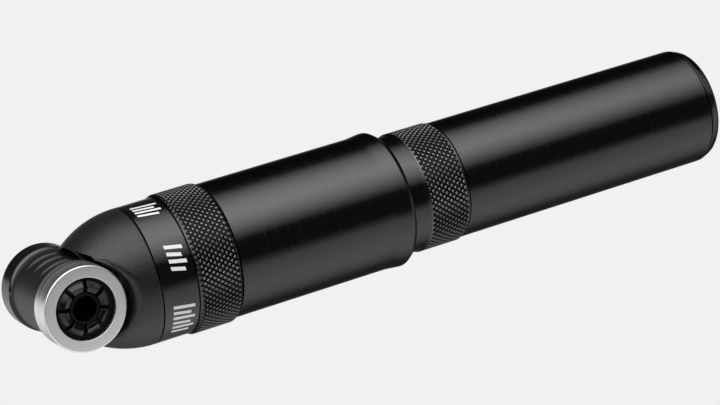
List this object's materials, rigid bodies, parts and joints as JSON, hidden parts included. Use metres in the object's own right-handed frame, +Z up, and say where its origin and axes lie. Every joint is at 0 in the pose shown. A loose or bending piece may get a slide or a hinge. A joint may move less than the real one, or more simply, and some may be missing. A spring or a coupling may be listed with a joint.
{
  "type": "mini bicycle pump",
  "caption": "Slim hand pump with a two-sided valve chuck, domed head, knurled rings and a handle tube that pulls out over the barrel.",
  "frame": {"origin": "middle of the footprint, on the surface that the closed pump lies on", "axes": "+X along the pump from the chuck to the end cap, -Y towards the Schrader port, +Z up"},
  "size_m": [0.2088, 0.0384, 0.0384],
  "materials": {
    "dome_black": "fine matte black coat",
    "band_black": "gloss black",
    "anodised_black": "satin black anodised, turned",
    "satin_aluminium": "satin turned",
    "bare_aluminium": "satin",
    "steel": "ground",
    "brass": "machined",
    "rubber": "matte",
    "nylon": "moulded"
  },
  "bodies": {
    "head": {"head_dome": "dome_black", "head_core": "bare_aluminium", "neck_o_ring": "rubber", "check_seat": "brass", "label_band": "band_black", "head_ring": "anodised_black", "outer_sleeve": "anodised_black", "mouth_ring": "nylon", "barrel_tube": "bare_aluminium", "barrel_gasket": "rubber", "barrel_gland": "nylon", "gland_o_ring": "rubber", "rod_bush": "brass", "chuck_body": "dome_black", "schrader_insert": "nylon", "schrader_grommet": "rubber", "presta_insert": "nylon", "presta_grommet": "rubber"},
    "piston": {"piston_rod": "bare_aluminium", "piston_head": "nylon", "piston_o_ring": "rubber", "piston_nut": "steel", "bumper": "rubber", "thrust_washer": "brass", "rod_nut": "steel"},
    "handle": {"handle_tube": "anodised_black", "handle_collar": "anodised_black", "end_cap": "anodised_black", "swivel_plate": "steel"},
    "schrader_cap": {"schrader_ring": "satin_aluminium"},
    "presta_cap": {"presta_ring": "anodised_black"},
    "shuttle": {"shuttle": "nylon", "shuttle_o_ring_a": "rubber", "shuttle_o_ring_b": "rubber"},
    "check_ball": {"check_ball": "steel"}
  },
  "joints": [
    {"name": "handle_slide", "type": "slide", "parent": "head", "child": "piston", "axis": [1, 0, 0], "range_m": [0, 0.144]},
    {"name": "handle_turn", "type": "hinge", "parent": "piston", "child": "handle", "pos_m": [0.05705, 0, 0.01921], "axis": [1, 0, 0], "continuous": true},
    {"name": "schrader_ring_turn", "type": "hinge", "parent": "head", "child": "schrader_cap", "pos_m": [-0.09295, -0.0108, 0.01921], "axis": [0, -1, 0], "range_deg": [0, 270]},
    {"name": "presta_ring_turn", "type": "hinge", "parent": "head", "child": "presta_cap", "pos_m": [-0.09295, 0.0129, 0.01921], "axis": [0, 1, 0], "range_deg": [0, 270]},
    {"name": "shuttle_slide", "type": "slide", "parent": "head", "child": "shuttle", "axis": [0, -1, 0], "range_m": [-0.0015, 0.0015]},
    {"name": "check_ball_lift", "type": "slide", "parent": "head", "child": "check_ball", "axis": [-1, 0, 0], "range_m": [0, 0.0008]}
  ]
}
